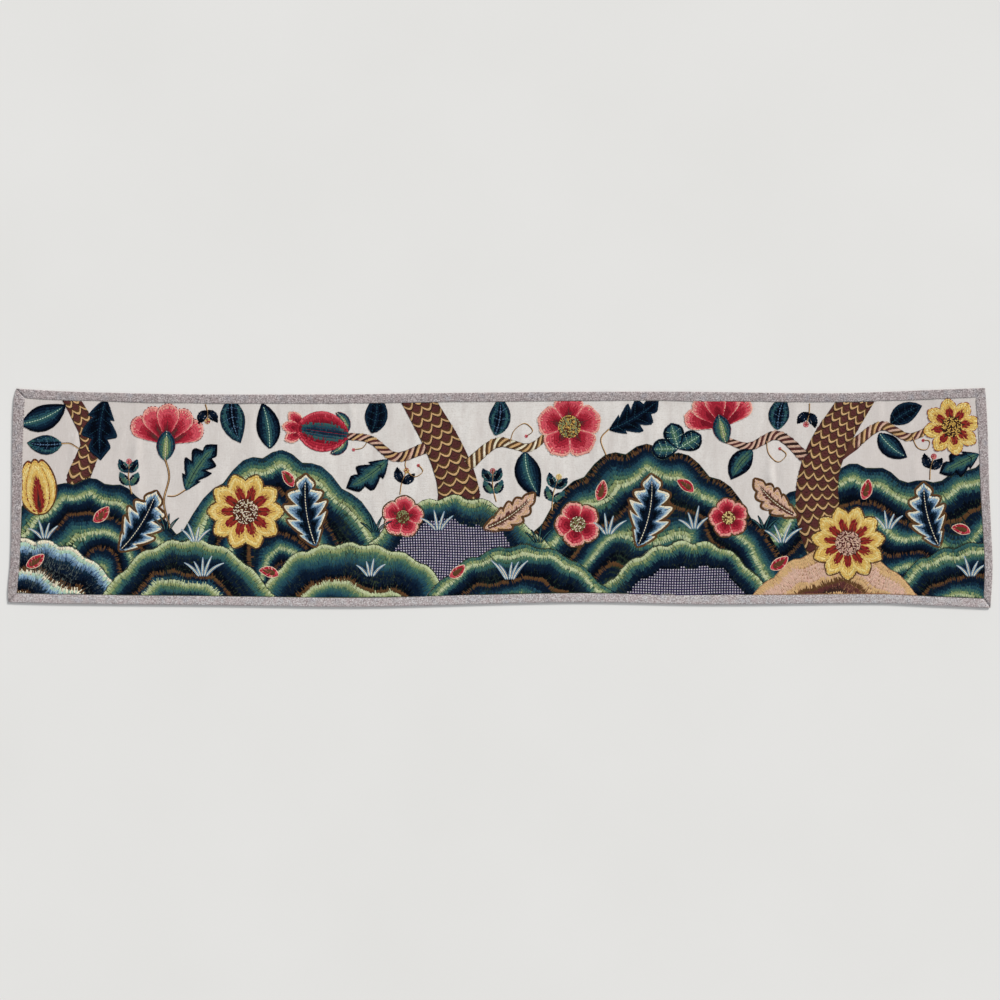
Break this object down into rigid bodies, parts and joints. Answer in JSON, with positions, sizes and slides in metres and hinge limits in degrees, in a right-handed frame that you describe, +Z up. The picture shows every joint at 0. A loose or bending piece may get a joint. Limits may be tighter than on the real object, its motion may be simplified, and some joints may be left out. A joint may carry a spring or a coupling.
{
  "type": "crewelwork panel",
  "caption": "Long narrow linen panel covered with wool crewel embroidery of hillocks, trunks, leaves and flowers, bound in mitred grey linen, lying flat.",
  "frame": {"origin": "on the surface the panel lies on, under the middle of its bounding box", "axes": "+X along the panel's length, +Y across it towards the top of the design, +Z up out of the worked face"},
  "size_m": [1.8794, 0.42, 0.0039],
  "materials": {
    "linen": "matte",
    "binding_linen": "matte",
    "wool_teal": "matte",
    "wool_sea_green": "matte",
    "wool_green": "matte",
    "wool_olive": "matte",
    "wool_navy": "matte",
    "wool_brown": "matte",
    "wool_dark_brown": "matte",
    "wool_tan": "matte",
    "wool_blue": "matte",
    "wool_rose": "matte",
    "wool_crimson": "matte",
    "wool_gold": "matte"
  },
  "bodies": {
    "root": {"aster_left": "wool_gold", "aster_right": "wool_gold", "binding_bottom": "binding_linen", "binding_left": "binding_linen", "binding_right": "binding_linen", "binding_top": "binding_linen", "bough_far_right": "wool_tan", "bough_left": "wool_dark_brown", "bough_middle": "wool_tan", "bough_right": "wool_dark_brown", "carnation_left": "wool_rose", "carnation_right": "wool_rose", "fern_1": "wool_blue", "fern_2": "wool_blue", "fern_3": "wool_blue", "fern_4": "wool_blue", "frond_1": "wool_tan", "frond_2": "wool_tan", "hill_far_left": "wool_teal", "hill_far_right": "wool_sea_green", "hill_far_right_part_2": "wool_sea_green", "hill_high_left": "wool_sea_green", "hill_high_right": "wool_teal", "hill_middle": "wool_green", "leaf_01": "wool_navy", "leaf_02": "wool_navy", "leaf_03": "wool_navy", "leaf_04": "wool_navy", "leaf_05": "wool_navy", "leaf_06": "wool_navy", "leaf_07": "wool_navy", "leaf_08": "wool_navy", "leaf_09": "wool_navy", "leaf_10": "wool_navy", "leaf_11": "wool_navy", "leaf_12": "wool_navy", "leaf_13": "wool_navy", "leaf_14": "wool_navy", "leaf_15": "wool_navy", "leaf_16": "wool_navy", "linen": "linen", "mound_1": "wool_green", "mound_2": "wool_navy", "mound_3": "wool_olive", "mound_4": "wool_navy", "mound_5": "wool_sea_green", "mound_6": "wool_tan", "mound_7": "wool_navy", "pink_1": "wool_rose", "pink_2": "wool_rose", "pink_3": "wool_crimson", "pomegranate": "wool_crimson", "rose_middle": "wool_rose", "star_flower": "wool_gold", "trefoil": "wool_teal", "trunk_left": "wool_dark_brown", "trunk_middle": "wool_brown", "trunk_right": "wool_brown", "tulip_left": "wool_gold"}
  },
  "joints": []
}
